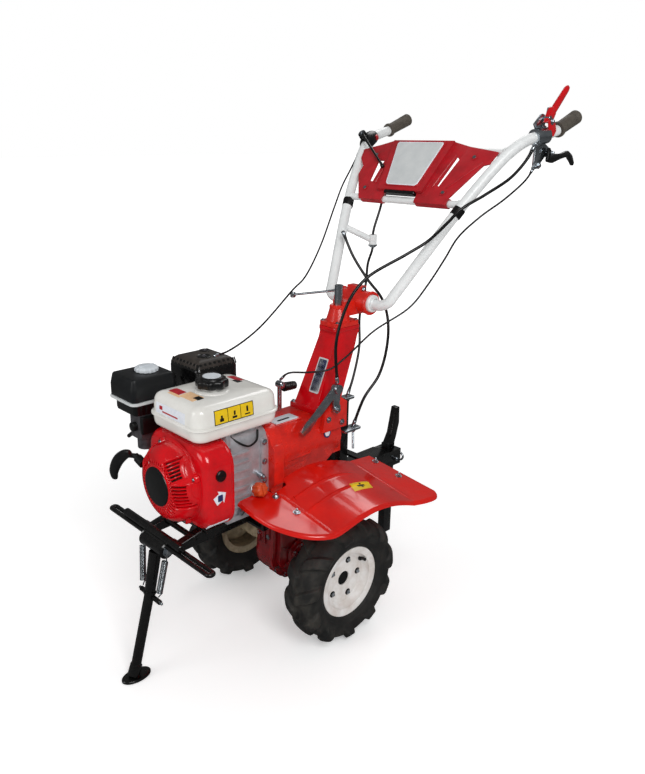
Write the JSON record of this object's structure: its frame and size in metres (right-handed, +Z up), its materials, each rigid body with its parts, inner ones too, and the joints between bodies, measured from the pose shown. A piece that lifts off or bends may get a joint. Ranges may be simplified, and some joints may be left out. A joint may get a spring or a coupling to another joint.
{
  "type": "mini cultivator",
  "caption": "Walk-behind petrol cultivator on lugged pneumatic wheels, with gearbox, fenders, fold-down front stand and a swivelling, tilting handlebar with hand controls.",
  "frame": {"origin": "middle of the machine's footprint box, on the ground", "axes": "+X forward towards the engine and bumper, +Y to the operator's left, +Z up"},
  "size_m": [1.318, 0.6612, 1.3783],
  "materials": {
    "red_paint": "gloss red enamel on sheet steel",
    "casting_red": "gloss orange-red enamel on castings",
    "dark_red": "dark red enamel on the final drive castings",
    "black_paint": "satin black powder coat",
    "white_paint": "white powder coat",
    "tank_paint": "gloss cream enamel",
    "aluminium": "as-cast aluminium",
    "zinc": "bright zinc plating",
    "black_plastic": "satin moulded plastic",
    "red_plastic": "satin red moulded plastic",
    "orange_plastic": "orange moulded plastic",
    "tyre": "dusty black rubber",
    "grip": "dark grey-brown moulded rubber",
    "cable": "black cable sheath"
  },
  "bodies": {
    "chassis": {"final_drive_case": "dark_red", "final_drive_cover": "dark_red", "gearbox_case": "casting_red", "bell_housing": "casting_red", "crankcase": "aluminium", "cylinder_head": "aluminium", "engine_shroud": "red_paint", "recoil_cover": "red_paint", "fuel_tank": "tank_paint", "air_cleaner": "black_plastic", "carburettor": "aluminium", "muffler": "black_paint", "engine_frame": "black_paint", "bumper_bar": "black_paint", "front_fender_bracket": "black_paint", "rear_fender_bracket": "black_paint", "left_fender": "red_paint", "right_fender": "red_paint", "hitch_frame": "black_paint", "drag_stake": "black_paint", "column": "red_paint", "left_stand_spring": "zinc", "right_stand_spring": "zinc", "clutch_cable": "cable", "reverse_cable": "cable", "shift_cable": "cable", "throttle_cable": "cable", "gear_cable": "cable"},
    "drive_axle": {"axle_shaft": "zinc", "left_rim": "white_paint", "right_rim": "white_paint", "left_tyre": "tyre", "right_tyre": "tyre", "drive_gear": "aluminium"},
    "pinion": {"pinion_gear": "aluminium"},
    "crankshaft": {"flywheel": "aluminium"},
    "starter_grip": {"pull_handle": "black_plastic"},
    "tank_cap": {"fuel_cap": "black_plastic"},
    "cleaner_knob": {"air_cleaner_knob": "zinc"},
    "dipstick": {"oil_dipstick": "orange_plastic"},
    "switch": {"engine_switch": "black_plastic"},
    "stand": {"stand_leg": "black_paint"},
    "stake_pin": {"hitch_pin": "zinc"},
    "head": {"handlebar_head": "casting_red", "swivel_pin": "zinc"},
    "handlebar": {"handlebar_base": "white_paint", "left_handlebar_tube": "white_paint", "right_handlebar_tube": "white_paint", "lower_crossbar": "white_paint", "upper_crossbar": "white_paint", "console_panel": "red_plastic", "left_grip": "grip", "right_grip": "grip", "lever_perch": "zinc", "throttle_housing": "black_plastic"},
    "clutch_hand_lever": {"clutch_lever": "red_paint"},
    "reverse_hand_lever": {"reverse_lever": "black_paint"},
    "throttle_hand_lever": {"throttle_lever": "black_plastic"},
    "gearbox_lever": {"gear_lever": "zinc"},
    "gearbox_arm": {"clutch_arm": "zinc"}
  },
  "joints": [
    {"name": "wheels_roll", "type": "hinge", "parent": "chassis", "child": "drive_axle", "pos_m": [0.133, 0, 0.168], "axis": [0, 1, 0], "continuous": true},
    {"name": "pinion_spin", "type": "hinge", "parent": "chassis", "child": "pinion", "pos_m": [0.133, 0, 0.2523], "axis": [0, 1, 0], "continuous": true},
    {"name": "crankshaft_spin", "type": "hinge", "parent": "chassis", "child": "crankshaft", "pos_m": [0.333, 0, 0.478], "axis": [1, 0, 0], "continuous": true},
    {"name": "starter_pull", "type": "slide", "parent": "chassis", "child": "starter_grip", "axis": [0, -0.9488, 0.3159], "range_m": [0, 0.5], "stiffness_N_per_m": 20, "springref_m": -0.05},
    {"name": "fuel_cap_turn", "type": "hinge", "parent": "chassis", "child": "tank_cap", "pos_m": [0.379, 0.008, 0.7], "axis": [0, 0, 1], "range_deg": [0, 90]},
    {"name": "cleaner_knob_turn", "type": "hinge", "parent": "chassis", "child": "cleaner_knob", "pos_m": [0.435, -0.186, 0.697], "axis": [0, 0, 1], "continuous": true},
    {"name": "dipstick_turn", "type": "hinge", "parent": "chassis", "child": "dipstick", "pos_m": [0.325, 0.116, 0.4438], "axis": [0, 0.943, 0.3328], "range_deg": [0, 180]},
    {"name": "switch_turn", "type": "hinge", "parent": "chassis", "child": "switch", "pos_m": [0.446, 0.126, 0.52], "axis": [0, 1, 0], "range_deg": [0, 60]},
    {"name": "stand_fold", "type": "hinge", "parent": "chassis", "child": "stand", "pos_m": [0.546, 0, 0.334], "axis": [0, 1, 0], "range_deg": [0, 70], "stiffness_Nm_per_rad": 6, "springref_deg": -28.65, "deforming": ["left_stand_spring", "right_stand_spring"]},
    {"name": "stake_pin_pull", "type": "slide", "parent": "chassis", "child": "stake_pin", "axis": [0, 1, 0], "range_m": [0, 0.085]},
    {"name": "handlebar_swivel", "type": "hinge", "parent": "chassis", "child": "head", "pos_m": [-0.048, 0, 0.78], "axis": [0, 0, 1], "range_deg": [-30, 30], "deforming": ["clutch_cable", "reverse_cable", "shift_cable", "throttle_cable", "gear_cable"]},
    {"name": "handlebar_tilt", "type": "hinge", "parent": "head", "child": "handlebar", "pos_m": [-0.117, 0, 0.822], "axis": [0, 1, 0], "range_deg": [-15, 15], "deforming": ["clutch_cable", "reverse_cable", "shift_cable", "throttle_cable", "gear_cable"]},
    {"name": "clutch_lever_squeeze", "type": "hinge", "parent": "handlebar", "child": "clutch_hand_lever", "pos_m": [-0.507, 0.286, 1.292], "axis": [0, -1, 0], "range_deg": [0, 22], "stiffness_Nm_per_rad": 3, "springref_deg": -17.19},
    {"name": "reverse_lever_squeeze", "type": "hinge", "parent": "handlebar", "child": "reverse_hand_lever", "pos_m": [-0.531, 0.29, 1.206], "axis": [0, 1, 0], "range_deg": [0, 22], "stiffness_Nm_per_rad": 2, "springref_deg": -17.19},
    {"name": "throttle_lever_turn", "type": "hinge", "parent": "handlebar", "child": "throttle_hand_lever", "pos_m": [-0.40732, -0.265, 1.25329], "axis": [-0.7551, 0, -0.6556], "range_deg": [0, 40]},
    {"name": "gear_lever_turn", "type": "hinge", "parent": "chassis", "child": "gearbox_lever", "pos_m": [0.033, 0.076, 0.566], "axis": [0, -1, 0], "range_deg": [0, 10]},
    {"name": "clutch_arm_turn", "type": "hinge", "parent": "chassis", "child": "gearbox_arm", "pos_m": [0.117, -0.05, 0.58], "axis": [0, 0, 1], "range_deg": [0, 8]}
  ],
  "couplings": [
    {"joint": "pinion_spin", "follows": "wheels_roll", "ratio": -1.8},
    {"joint": "gear_lever_turn", "follows": "clutch_lever_squeeze", "ratio": 0.45},
    {"joint": "clutch_arm_turn", "follows": "reverse_lever_squeeze", "ratio": 0.36}
  ]
}
